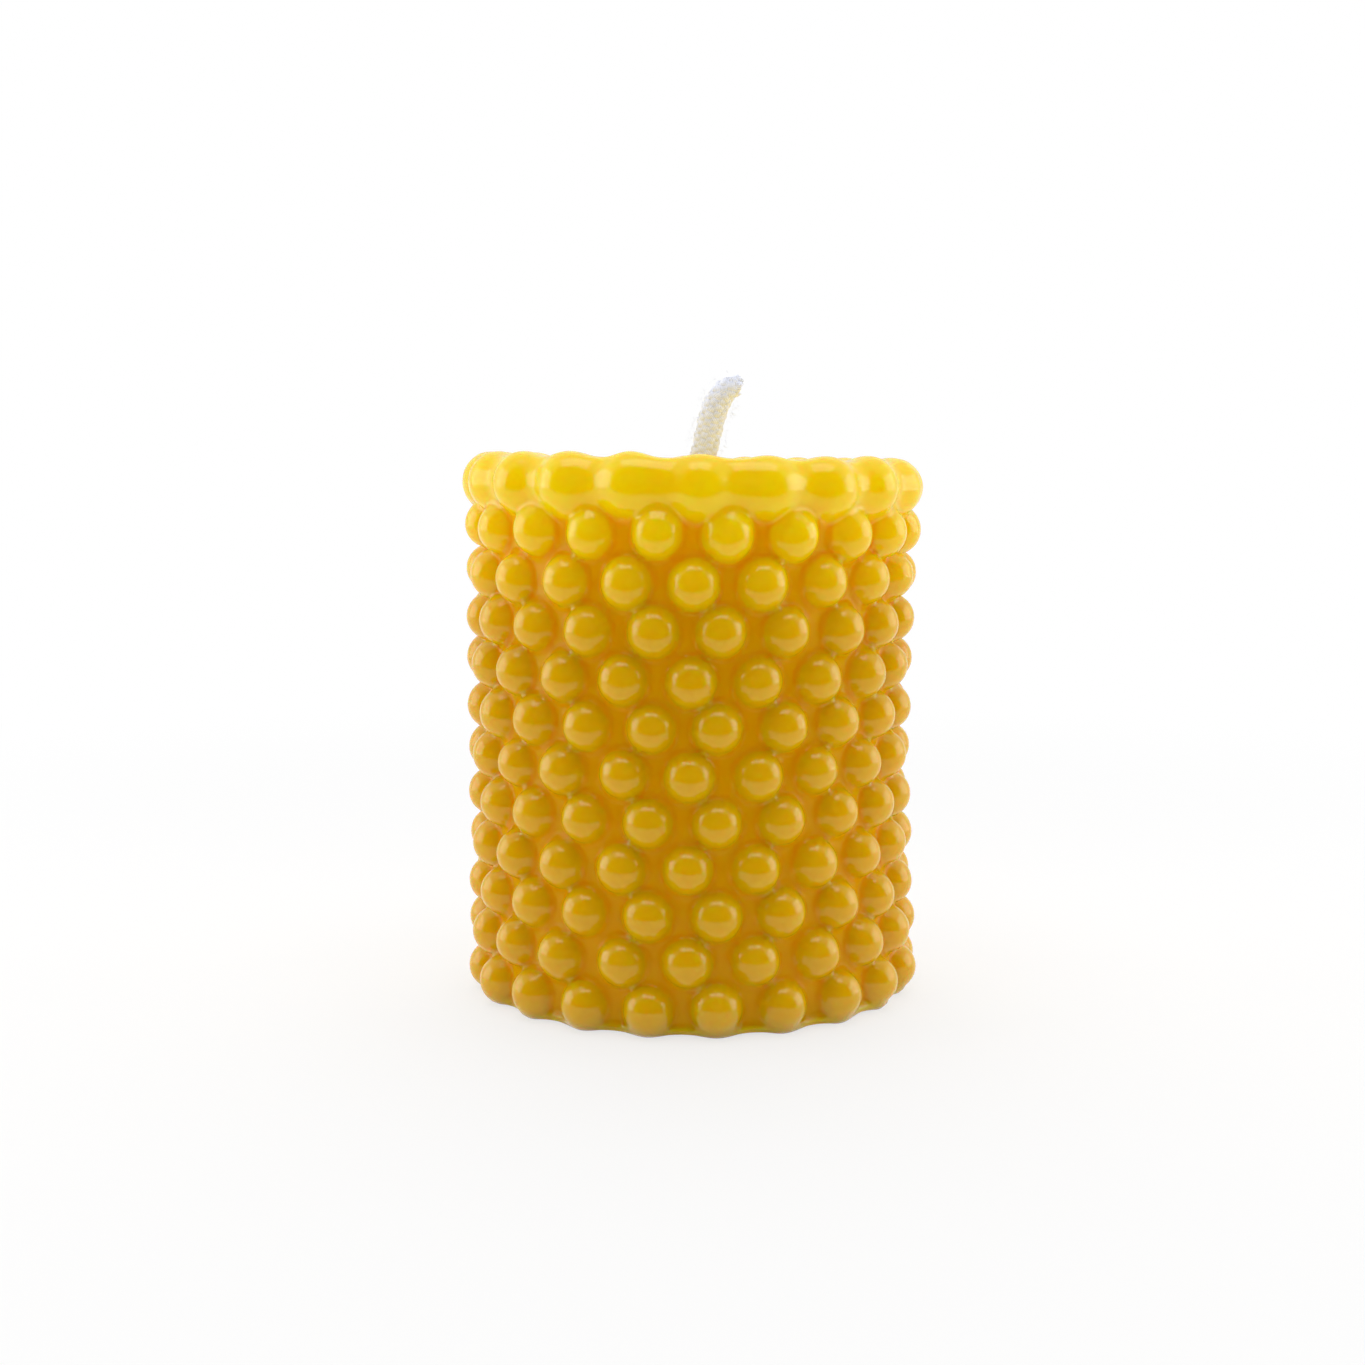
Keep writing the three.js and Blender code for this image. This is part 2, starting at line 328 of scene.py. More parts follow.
class WaxShape:
    """The cast wax as a distance field: below zero in the wax, and above zero outside it."""

    def __init__(self, sizes, wick):
        for name in CandleWaxSizes.__annotations__:
            setattr(self, name, getattr(sizes, name))
        self.wick_exit = wick.exit_x
        self.wick_radius = wick.diameter / 2
        self.bead_step = FULL_TURN / self.beads_per_row
        self.rim_row = self.rows - 1
        self.rim_height = self.height - self.rim_bead_radius
        self.pattern_height = self.rim_height + self.rim_drop - self.lowest_row_height
        self.row_pitch = self.pattern_height / self.rim_row
        self.top_height = self.height - self.top_below_crest
        draw = np.random.default_rng(11)
        self.scatter = draw.normal(0.0, self.bead_scatter, (self.rows, self.beads_per_row, 3))
        self.waves = []
        for wavelength in WAVELENGTHS:
            for _ in range(WAVES_OF_A_LENGTH):
                direction = draw.normal(size=3)
                direction *= FULL_TURN / wavelength / np.linalg.norm(direction)
                height = self.unevenness * (wavelength / WAVELENGTHS[0]) ** 0.6
                self.waves.append((direction, draw.uniform(0, FULL_TURN), height))

    def height_share(self, height):
        """-1 at the lowest row of beads, 1 at the uppermost, and no more past them."""
        above = (height - self.lowest_row_height) / (self.pattern_height / 2) - 1
        return np.clip(above, -1, 1)

    def crown_radius(self, height):
        """Radius over the beads, which draws in at the waist."""
        part = self.height_share(height)
        end_inset = np.where(part > 0, 0.0, self.base_inset)
        return self.radius - self.waist_inset + (self.waist_inset - end_inset) * part**2

    def level_shift(self, height):
        """How far a level is moved along X by the bow."""
        return -self.bow * (1 - self.height_share(height) ** 2)

    def level_tilt(self, height):
        """Rise of a level per metre towards +X. The levels lean more and more to both ends."""
        part = self.height_share(height)
        tilt = np.where(part > 0, math.tan(self.top_tilt), math.tan(self.low_tilt))
        return -part * tilt

    def level_slope(self, height):
        """Rise of a level per metre towards the back."""
        return -math.tan(self.top_slope) * np.maximum(self.height_share(height), 0) ** 2

    def row_height(self, row):
        """Height of a row's middle."""
        return self.lowest_row_height + row * self.row_pitch

    def row_angle(self, row):
        """Angle of a row's first bead. Every second row is set on by almost half a step."""
        stagger = np.where((self.rim_row - row) % 2 == 0, 0.0, self.row_stagger)
        return stagger * self.bead_step + self.row_twist * (row - self.rim_row / 2)

    def foot_wave(self, angle):
        """1 under a bead of the lowest row, and -1 halfway to the next one."""
        return np.cos(self.beads_per_row * (angle - self.row_angle(0)))

    def underside(self, angle, radius):
        """Height of the base, whose edge lifts off the floor between the beads."""
        edge = np.clip(1 + (radius - self.foot_radius) / FOOT_EDGE, 0, 1) ** 2
        return self.foot_gap * edge * (1 - self.foot_wave(angle)) / 2

    def straightened(self, points):
        """Angle, radius and height of points on a casting that neither bows nor leans."""
        x, y, z = points.T
        height = z
        for _ in range(2):
            height = z - x * self.level_tilt(height) - y * self.level_slope(height)
        x = x - self.level_shift(height)
        return np.arctan2(x, -y), np.hypot(x, y), height

    def bead_distances(self, angle, radius, height, row, centre_radius, bead_radius, lift=0.0):
        """Distances to the two beads of a row that are nearest in angle."""
        row = np.broadcast_to(row, angle.shape)
        steps = (angle - self.row_angle(row)) / self.bead_step
        found = []
        for index in (np.floor(steps), np.floor(steps) + 1):
            scatter = self.scatter[row, index.astype(int) % self.beads_per_row]
            across = (steps - index) * self.bead_step
            out = radius * np.cos(across) - centre_radius
            along = radius * np.sin(across) - scatter[:, 0]
            rise = height - self.row_height(row) - lift - scatter[:, 1]
            reach = bead_radius + SIZE_SCATTER * scatter[:, 2]
            found.append(np.sqrt(out**2 + along**2 + rise**2) - reach)
        return found

    def top_surface(self, x, y, radius):
        """Height of the top, which is dished and climbs a little up the wick."""
        dish = self.top_dish * np.clip(1 - (radius / self.radius) ** 2, 0, 1)
        gap = np.maximum(np.hypot(x - self.wick_exit, y) - self.wick_radius, 0)
        climb = WAX_CLIMB * np.exp(-gap / CLIMB_REACH)
        return self.top_height - dish + climb

    def distance(self, points):
        """The field at some points: the wall and its beads, the rim, the foot and the channel."""
        angle, radius, height = self.straightened(points)
        x, y, z = points.T
        wall = radius - (self.crown_radius(height) - self.bead_stand_out)
        top = height - self.top_surface(x, y, radius)
        body = smooth_max([wall, top], self.fillet)
        beside = radius - self.foot_radius - self.foot_scallop * self.foot_wave(angle)
        foot = smooth_max([beside, height - self.foot_height], self.edge_fillet)
        forms = [body, foot]
        nearest = np.rint((height - self.lowest_row_height) / self.row_pitch).astype(int)
        for offset in (-1, 0, 1):
            row = nearest + offset
            in_wall = (row >= 0) & (row < self.rim_row)
            row = np.clip(row, 0, self.rim_row - 1)
            centre = self.crown_radius(self.row_height(row)) - self.bead_radius
            for bead in self.bead_distances(
                angle, radius, height, row, centre, self.bead_radius
            ):
                forms.append(np.where(in_wall, bead, FAR))
        wax = smooth_min(forms, self.fillet)
        drop = self.rim_height - self.row_height(self.rim_row)
        centre = self.radius - self.rim_bead_radius
        rim = self.bead_distances(
            angle, radius, height, self.rim_row, centre, self.rim_bead_radius, drop
        )
        band_centre = self.radius - self.rim_stand_out - self.rim_band_radius
        band = np.hypot(radius - band_centre, height - self.rim_height) - self.rim_band_radius
        wax = smooth_min([wax, band, *rim], self.rim_fillet)
        wax = smooth_max([wax, self.underside(angle, radius) - z], self.edge_fillet)
        from_wick = np.hypot(x - self.wick_exit * z / self.top_height, y)
        hole = np.maximum(from_wick - CHANNEL_WIDTH * self.wick_radius, z - CHANNEL_DEPTH)
        wax = smooth_max([wax, -hole], self.edge_fillet)
        loose = np.clip(z / STILL_BASE, 0, 1)
        for direction, phase, height in self.waves:
            wax = wax - loose * height / WAVES_OF_A_LENGTH * np.sin(points @ direction + phase)
        return wax

    def slope(self, points):
        """The field's value and its gradient."""
        value = self.distance(points)
        step = 0.02 * MM
        gradient = np.empty_like(points)
        for axis in range(3):
            moved = points.copy()
            moved[:, axis] += step
            gradient[:, axis] = (self.distance(moved) - value) / step
        return value, gradient


def wax_rays(shape, face):
    """Where the surface is looked for: start points outside the wax and directions into it, as
    radius and height, from the middle of the base to the middle of the top. The last value
    says which of them may slide."""
    starts, directions, loose = [], [], []

    def add(start, direction, slides):
        starts.append(start)
        directions.append(direction)
        loose.append(slides)

    def fan(centre_radius, centre_height, reach, first, last):
        count = max(2, round(abs(last - first) * reach / face))
        for i in range(count):
            turn = first + (last - first) * i / count
            out, up = math.cos(turn), math.sin(turn)
            far = reach + RAY_MARGIN
            add((centre_radius + far * out, centre_height + far * up), (-out, -up), True)

    corner = shape.foot_radius - CORNER_REACH
    plain = np.linspace(BASE_PLAIN_FROM, corner - BASE_PLAIN_SHORT, BASE_PLAIN_RINGS)
    for radius in [*np.arange(*BASE_BY_WICK), *plain]:
        add((radius, -UNDER), (0, 1), False)
    fan(corner, CORNER_HEIGHT, CORNER_REACH, -math.pi / 2, 0)
    wall_height = shape.rim_height - CORNER_HEIGHT
    wall_count = round(wall_height / face)
    for i in range(wall_count):
        height = CORNER_HEIGHT + wall_height * i / wall_count
        add((shape.radius + RAY_MARGIN, height), (-1, 0), True)
    rim_centre = shape.radius - shape.rim_bead_radius
    fan(rim_centre, shape.rim_height, shape.rim_bead_radius, 0, math.pi / 2)
    high = shape.top_height + OVER
    for radius in np.arange(rim_centre, rim_centre - RIM_INSIDE, -face):
        add((radius, high), (0, -1), True)
    plain = np.linspace(rim_centre - TOP_PLAIN_SHORT, TOP_PLAIN_TO, TOP_PLAIN_RINGS)
    for radius in [*plain, *np.arange(*TOP_BY_WICK)]:
        add((radius, high), (0, -1), False)
    return np.array(starts), np.array(directions), np.array(loose)


def onto_surface(shape, points):
    """Points moved one step closer to the surface, with the field's gradient and its square."""
    value, gradient = shape.slope(points)
    steepness = np.sum(gradient**2, axis=1, keepdims=True)
    moved = points - value[:, None] * gradient / np.maximum(steepness, FLATTEST_SLOPE)
    return moved, gradient, steepness


def wax_surface(shape, face):
    """The surface of the wax as rings of points, from the middle of the base to that of the top."""
    starts, directions, loose = wax_rays(shape, face)
    columns = shape.beads_per_row * round(shape.bead_step * shape.radius / face)
    turns = FULL_TURN * np.arange(columns) / columns
    outward = np.stack([np.sin(turns), -np.cos(turns), np.zeros(columns)], axis=1)
    upward = np.array([0.0, 0.0, 1.0])

    def in_space(pairs):
        return (
            pairs[:, None, 0:1] * outward[None] + pairs[:, None, 1:2] * upward
        ).reshape(-1, 3)

    points = in_space(starts)
    inward = in_space(directions)
    for _ in range(RAY_STEPS):
        points = points + RAY_CAUTION * shape.distance(points)[:, None] * inward
    rings = (len(starts), columns, 3)
    slide = SLIDE_SHARE * loose[:, None, None]
    for _ in range(SLIDE_STEPS):
        points, gradient, steepness = onto_surface(shape, points)
        normal = (gradient / np.sqrt(np.maximum(steepness, 1e-12))).reshape(rings)
        grid = points.reshape(rings)
        beside = np.roll(grid, 1, axis=1) + np.roll(grid, -1, axis=1)
        above = np.concatenate([grid[1:], grid[-1:]])
        below = np.concatenate([grid[:1], grid[:-1]])
        pull = (beside + above + below) / 4 - grid
        pull -= np.sum(pull * normal, axis=2, keepdims=True) * normal
        points = (grid + slide * pull).reshape(-1, 3)
    for _ in range(SETTLE_STEPS):
        points, _, _ = onto_surface(shape, points)
    return points.reshape(rings)


def closed_rings(rings):
    """Points and faces of a closed skin through rings of points, with a fan at each end."""
    count, columns = rings.shape[:2]
    points = rings.reshape(-1, 3)
    index = np.arange(count * columns).reshape(count, columns)
    beside = np.roll(index, -1, axis=1)
    quads = np.stack([index[:-1], beside[:-1], beside[1:], index[1:]], axis=-1)
    first, last = len(points), len(points) + 1
    ends = [rings[0].mean(axis=0), rings[-1].mean(axis=0)]
    faces = quads.reshape(-1, 4).tolist()
    faces += [(first, b, a) for a, b in zip(index[0].tolist(), beside[0].tolist())]
    faces += [(last, a, b) for a, b in zip(index[-1].tolist(), beside[-1].tolist())]
    return np.vstack([points, ends]), faces


def new_piece(name, points, faces):
    """A smooth mesh object in the scene."""
    mesh = bpy.data.meshes.new(name)
    mesh.from_pydata(points.tolist(), [], faces)
    mesh.update()
    mesh.shade_smooth()
    piece = bpy.data.objects.new(name, mesh)
    bpy.context.scene.collection.objects.link(piece)
    return piece


def dress(piece, node, material):
    """Puts a piece in the place of a node of the packed part."""
    piece.data.materials.append(material)
    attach(piece, "root")
    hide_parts(node)


# Materials


def new_material(name):
    """A material with its node tree and its main shader."""
    material = bpy.data.materials.new(name)
    material.use_nodes = True
    tree = material.node_tree
    return material, tree, tree.nodes["Principled BSDF"]


def add_node(tree, kind, **settings):
    """A node whose settings are values of its inputs or properties of its own."""
    node = tree.nodes.new(kind)
    for key, value in settings.items():
        if key in node.inputs:
            node.inputs[key].default_value = value
        else:
            setattr(node, key, value)
    return node


def noise(tree, place, size, detail=3.0, roughness=0.55):
    """Noise whose patches are about size across."""
    node = add_node(
        tree, "ShaderNodeTexNoise", Scale=1 / size, Detail=detail, Roughness=roughness
    )
    tree.links.new(place, node.inputs["Vector"])
    return node.outputs["Fac"]


def remap(tree, value, low, high, to_low=0.0, to_high=1.0):
    """A value between low and high, eased to a value between to_low and to_high."""
    node = add_node(tree, "ShaderNodeMapRange", interpolation_type="SMOOTHSTEP")
    limits = {"From Min": low, "From Max": high, "To Min": to_low, "To Max": to_high}
    for name, number in limits.items():
        node.inputs[name].default_value = number
    tree.links.new(value, node.inputs["Value"])
    return node.outputs["Result"]


def mixed(tree, factor, first, second):
    """A colour between two, each of them a colour or an output."""
    node = add_node(tree, "ShaderNodeMix", data_type="RGBA")
    tree.links.new(factor, node.inputs[0])
    for socket, value in ((node.inputs[6], first), (node.inputs[7], second)):
        if isinstance(value, bpy.types.NodeSocket):
            tree.links.new(value, socket)
        else:
            socket.default_value = (*value, 1.0)
    return node.outputs[2]


def maths(tree, operation, *values):
    """The result of a sum on values, each of them a number or an output."""
    node = add_node(tree, "ShaderNodeMath", operation=operation)
    for socket, value in zip(node.inputs, values):
        if isinstance(value, bpy.types.NodeSocket):
            tree.links.new(value, socket)
        else:
            socket.default_value = value
    return node.outputs[0]


def parts_of(tree, vector):
    """The X, Y and Z of an output that is a vector."""
    split = add_node(tree, "ShaderNodeSeparateXYZ")
    tree.links.new(vector, split.inputs[0])
    return split.outputs


def add_bump(tree, shader, height, strength, depth):
    """Relief that is too fine for the mesh."""
    bump = add_node(tree, "ShaderNodeBump", Strength=strength, Distance=depth)
    tree.links.new(height, bump.inputs["Height"])
    tree.links.new(bump.outputs["Normal"], shader.inputs["Normal"])


def set_inputs(shader, **values):
    """Sets sockets of a shader, whose names have spaces in place of the underscores."""
    for name, value in values.items():
        shader.inputs[name.replace("_", " ")].default_value = value


def beeswax(look, crest):
    """Clear yellow beeswax, cast smooth, with a faint bloom in patches. Painted shade makes it a
    deeper orange in the valleys, and painted light makes it paler and yellower up to the crest of
    the rim."""
    material, tree, shader = new_material("beeswax")
    links = tree.links
    place = add_node(tree, "ShaderNodeTexCoord").outputs["Object"]
    # How deep a point lies in a valley: the mask of the painted shade
    depth = add_node(tree, "ShaderNodeAttribute", attribute_name="valley").outputs["Fac"]
    patches = noise(tree, place, WAX_PATCH)
    mottle = noise(tree, place, WAX_MOTTLE, 4.0)
    # Painted light: towards the crest the colours turn to the paler rim colours
    high = remap(tree, parts_of(tree, place)["Z"], crest - look.rim_light_reach, crest)
    bead = mixed(tree, high, look.crown, look.rim)
    between = mixed(tree, high, look.valley, look.rim_valley)
    # Painted shade: a deeper orange where a point sinks into a valley
    body = mixed(tree, remap(tree, depth, VALLEY_SHADE_FROM, 1.0), bead, between)
    hazy = mixed(tree, remap(tree, patches, 0.45, 0.8, 0.0, 0.25), body, look.bloom)
    cloudy = mixed(tree, remap(tree, mottle, 0.5, 0.85, 0.0, 0.12), hazy, look.bloom)
    links.new(cloudy, shader.inputs["Base Color"])
    rough = remap(tree, mottle, 0.3, 0.75, look.roughness - 0.03, look.roughness + 0.05)
    links.new(rough, shader.inputs["Roughness"])
    set_inputs(
        shader,
        IOR=1.44,
        Subsurface_Weight=1.0,
        Subsurface_Radius=look.scatter_shares,
        Subsurface_Scale=look.scatter_depth,
    )
    # Painted shade on the gloss: less specular in the valleys, in place of reflections that the
    # beads hide
    gloss = remap(tree, depth, VALLEY_GLOSS_SHADE_FROM, 1.0, 0.5, 0.12)
    links.new(gloss, shader.inputs["Specular IOR Level"])
    add_bump(tree, shader, noise(tree, place, WAX_GRAIN, 5.0), 0.2, WAX_GRAIN_DEPTH)
    return material


def cotton_yarn(look, top_height):
    """Bleached cotton yarn in twisted plies, tinted where wax has climbed into it, with a faint
    painted glow for light that comes through it from behind.
    """
    material, tree, shader = new_material("cotton_wick")
    links = tree.links
    coordinates = add_node(tree, "ShaderNodeTexCoord")
    place = coordinates.outputs["Object"]
    wave = add_node(
        tree,
        "ShaderNodeTexWave",
        wave_type="BANDS",
        bands_direction="DIAGONAL",
        Scale=1.6,
        Distortion=0.8,
        Detail=2.0,
    )
    links.new(coordinates.outputs["UV"], wave.inputs["Vector"])
    plies = wave.outputs["Fac"]
    height = parts_of(tree, place)["Z"]
    soaked = remap(tree, height, top_height, top_height + look.soak, 1.0, 0.0)
    blotches = remap(tree, noise(tree, place, YARN_BLOTCH), 0.25, 0.7, 0.55, 1.0)
    between_plies = tuple(0.86 * c for c in look.cotton)
    yarn = mixed(tree, remap(tree, plies, 0.1, 0.9), between_plies, look.cotton)
    tinted = mixed(tree, maths(tree, "MULTIPLY", soaked, blotches), yarn, look.waxed)
    links.new(tinted, shader.inputs["Base Color"])
    set_inputs(
        shader,
        Roughness=0.85,
        Specular_IOR_Level=0.25,
        Sheen_Weight=0.25,
        Sheen_Roughness=0.5,
        # Painted light: the emission makes the yarn glow as if lit through from behind
        Emission_Color=(0.92, 0.94, 1.0, 1.0),
        Emission_Strength=look.painted_glow,
    )
    add_bump(tree, shader, plies, 0.6, PLY_DEPTH)
    return material


# Shape of the wick


def wick_route(shape, wick):
    """Points close together on the wick's line, which is the packed part's: a straight run in
    the wax and then the bent free end. It runs on a little past the cut."""
    knots = []
    for i in range(STRAIGHT_POINTS):
        part = i / (STRAIGHT_POINTS - 1)
        height = wick.lift + part * (shape.top_height - wick.lift)
        knots.append((wick.exit_x * height / shape.top_height, 0.0, height))
    knots += [(x, 0.0, shape.top_height + height) for x, height in WICK_FREE_END]
    knots = np.array(knots)
    guarded = np.vstack([2 * knots[0] - knots[1], knots, 2 * knots[-1] - knots[-2]])
    line = []
    for i in range(len(knots) - 1):
        before, start, end, after = guarded[i : i + 4]
        spans = [
            np.linalg.norm(b - a) ** 0.5
            for a, b in ((before, start), (start, end), (end, after))
        ]
        leave = (start - before) / spans[0] - (end - before) / (spans[0] + spans[1])
        leave = (leave + (end - start) / spans[1]) * spans[1]
        arrive = (end - start) / spans[1] - (after - start) / (spans[1] + spans[2])
        arrive = (arrive + (after - end) / spans[2]) * spans[1]
        t = np.linspace(0, 1, SPAN_POINTS, endpoint=False)[:, None]
        line.append(
            (2 * t**3 - 3 * t**2 + 1) * start
            + (t**3 - 2 * t**2 + t) * leave
            + (3 * t**2 - 2 * t**3) * end
            + (t**3 - t**2) * arrive
        )
    heading = knots[-1] - line[-1][-1]
    heading /= np.linalg.norm(heading)
    past = knots[-1] + heading * np.linspace(0, PAST_CUT, PAST_CUT_POINTS)[:, None]
    return np.vstack([*line, past]), knots[-1], heading


def evenly(line, step):
    """The same line with its points a step apart, and how far along each is."""
    along = np.concatenate([[0], np.cumsum(np.linalg.norm(np.diff(line, axis=0), axis=1))])
    wanted = np.arange(0, along[-1], step)
    return np.stack([np.interp(wanted, along, line[:, i]) for i in range(3)], axis=1), wanted


def unit(vectors):
    """Vectors of the same directions, each of length 1."""
    return vectors / np.linalg.norm(vectors, axis=-1, keepdims=True)


def yarn_tube(centres, outward, half_width, half_thickness):
    """Rings of a flat strand round its centre line. outward is the way that its flat side faces."""
    heading = unit(np.gradient(centres, axis=0))
    across = unit(np.cross(heading, outward))
    raised = np.cross(across, heading)
    turns = FULL_TURN * np.arange(STRAND_SIDES) / STRAND_SIDES
    return (
        centres[:, None]
        + across[:, None] * (half_width[:, None] * np.cos(turns))[:, :, None]
        + raised[:, None] * (half_thickness[:, None] * np.sin(turns))[:, :, None]
    )


def fibre(root, tip, radius):
    """A loose fibre as a thin bent spike: rings of three points."""
    heading = unit(tip - root)
    side = unit(np.cross(heading, (0.31, 0.52, 0.79)))
    other = np.cross(heading, side)
    turns = FULL_TURN * np.arange(3) / 3
    droop = np.array((0, 0, -FIBRE_DROOP * np.linalg.norm(tip - root)))
    rings = []
    for part in (0.0, 0.5, 1.0):
        centre = root + (tip - root) * part + droop * part**2
        width = radius * (1 - FIBRE_TAPER * part)
        rings.append(
            centre
            + width * (np.cos(turns)[:, None] * side + np.sin(turns)[:, None] * other)
        )
    return np.array(rings)


def loose_fibre(draw, root, heading, scatter, reach, radius):
    """A fibre of a random length that leaves its root in about one direction."""
    lean = heading + scatter * draw.normal(size=3)
    return fibre(root, root + unit(lean) * draw.uniform(*reach), radius)


def wick_rings(shape, wick):
    """Each strand, the core and the loose fibres of the wick, as rings of points."""
    line, end, heading = wick_route(shape, wick)
    centres, along = evenly(line, RING_STEP)
    forward = unit(np.gradient(centres, axis=0))
    beside = np.broadcast_to([0.0, 1.0, 0.0], centres.shape)
    upper = np.cross(beside, forward)
    cut_normal = np.array(Matrix.Rotation(wick.cut_tilt, 3, "Y") @ Vector(heading))
    beyond = (centres - end) @ cut_normal
    end_along = np.interp(0.0, beyond, along)
    opening = np.clip(1 - (end_along - along) / FLARE_REACH, 0, 1.2) ** 2
    spread = 1 + wick.flare * opening
    middle = (wick.diameter - wick.strand_thickness) / 2 - wick.weave - wick.flat_edge
    draw = np.random.default_rng(23)
    found = []
    tips = []
    for way in (1, -1):
        for i in range(wick.strands):
            turn = FULL_TURN * (way * along / wick.lay + i / wick.strands)
            wave = way * wick.weave * np.cos(FULL_TURN * wick.strands * along / wick.lay)
            outward = np.cos(turn)[:, None] * upper + np.sin(turn)[:, None] * beside
            out = (middle + wave) * spread
            strand = centres + outward * out[:, None]
            closing = np.clip(1 + (strand - end) @ cut_normal / CLOSING_REACH, 0, 1) ** 2
            strand = strand - outward * (out * CLOSING_SHARE * closing)[:, None]
            kept = (strand - end) @ cut_normal < draw.uniform(*CUT_UNEVENNESS)
            swell = 1 + SWELL * np.sin(along / SWELL_LENGTH + draw.uniform(0, FULL_TURN))
            width = wick.strand_width / 2 * swell * (1 + WIDENING * opening)
            thickness = wick.strand_thickness / 2 * swell * (1 + THICKENING * opening)
            rings = yarn_tube(strand[kept], outward[kept], width[kept], thickness[kept])
            found.append(rings)
            tips.append((rings[-1], unit(rings[-1].mean(0) - rings[-3].mean(0))))
    inside = beyond < -CORE_CUT
    core = np.full(inside.sum(), middle - CORE_GAP)
    found.append(yarn_tube(centres[inside], upper[inside], core, core))
    for ring, direction in tips:
        middle_of_tip = ring.mean(0)
        for _ in range(TIP_FIBRES):
            to_edge = ring[draw.integers(STRAND_SIDES)] - middle_of_tip
            root = middle_of_tip + to_edge * draw.uniform(0, TIP_SPREAD) - direction * TIP_SINK
            found.append(
                loose_fibre(
                    draw, root, direction, TIP_FIBRE_SCATTER, TIP_FIBRE_REACH, TIP_FIBRE_RADIUS
                )
            )
    free = np.flatnonzero((centres[:, 2] > shape.top_height + HAIR_LOWEST) & (beyond < 0))
    for _ in range(wick.hairs):
        at = draw.choice(free)
        turn = draw.uniform(0, FULL_TURN)
        outward = math.cos(turn) * upper[at] + math.sin(turn) * beside[at]
        root = centres[at] + outward * wick.diameter * HAIR_ROOT * spread[at]
        found.append(loose_fibre(draw, root, outward, HAIR_SCATTER, HAIR_REACH, HAIR_RADIUS))
    return found


def map_along(piece, parts):
    """A UV map that runs round and along each strand, for the twist of its yarn."""
    lengths, rounds = [], []
    for rings in parts:
        count, sides = rings.shape[:2]
        steps = np.linalg.norm(np.diff(rings.mean(axis=1), axis=0), axis=1)
        along = np.concatenate([[0], np.cumsum(steps)]) / PLY_LENGTH
        lengths += [np.repeat(along, sides), along[[0, -1]]]
        rounds += [np.tile(np.arange(sides) / sides, count), [0.5, 0.5]]
    lengths, rounds = np.concatenate(lengths), np.concatenate(rounds)
    corners = np.empty(len(piece.data.loops), dtype=int)
    piece.data.loops.foreach_get("vertex_index", corners)
    layer = piece.data.uv_layers.new(name="strand")
    layer.data.foreach_set("uv", np.stack([lengths, rounds], axis=1)[corners].ravel())


class CANDLE_OT_wax(bpy.types.Operator):
    """Build the beaded wax"""

    bl_idname = "candle.wax"
    bl_label = "Wax"

    def execute(self, context):
        scene = context.scene
        shape = WaxShape(scene.candle_wax, scene.candle_wick)
        rings = wax_surface(shape, scene.candle_wax.face_size)
        points, faces = closed_rings(rings)
        piece = new_piece("cast_wax", points, faces)
        _, radius, height = shape.straightened(points)
        sunk = (shape.crown_radius(height) - radius) / shape.bead_stand_out
        on_wall = height < shape.rim_height
        # How far each point sinks into a valley: the mask of the painted shade between the beads
        depth = piece.data.attributes.new("valley", "FLOAT", "POINT")
        depth.data.foreach_set("value", np.where(on_wall, np.clip(sunk, 0, 1), 0.0))
        dress(piece, "wax_body", beeswax(scene.candle_wax_look, shape.top_height))
        return {"FINISHED"}


class CANDLE_OT_wick(bpy.types.Operator):
    """Build the braided wick"""

    bl_idname = "candle.wick"
    bl_label = "Wick"

    def execute(self, context):
        scene = context.scene
        shape = WaxShape(scene.candle_wax, scene.candle_wick)
        parts = wick_rings(shape, scene.candle_wick)
        points, faces = [], []
        count = 0
        for rings in parts:
            part_points, part_faces = closed_rings(rings)
            points.append(part_points)
            faces += [[count + corner for corner in face] for face in part_faces]
            count += len(part_points)
        piece = new_piece("braided_wick", np.vstack(points), faces)
        map_along(piece, parts)
        material = cotton_yarn(scene.candle_wick_look, shape.top_height)
        dress(piece, "wick", material)
        return {"FINISHED"}


# Studio


def seen_directly(tree):
    """1 for a ray that comes straight from the camera, and 1 for a mirrored or refracted one."""
    path = add_node(tree, "ShaderNodeLightPath").outputs
    mirrored = maths(tree, "ADD", path["Is Glossy Ray"], path["Is Transmission Ray"])
    return path["Is Camera Ray"], mirrored


def blended(tree, factor, first, second):
    """A shader between the shaders of two nodes."""
    node = add_node(tree, "ShaderNodeMixShader")
    tree.links.new(factor, node.inputs[0])
    tree.links.new(first.outputs[0], node.inputs[1])
    tree.links.new(second.outputs[0], node.inputs[2])
    return node


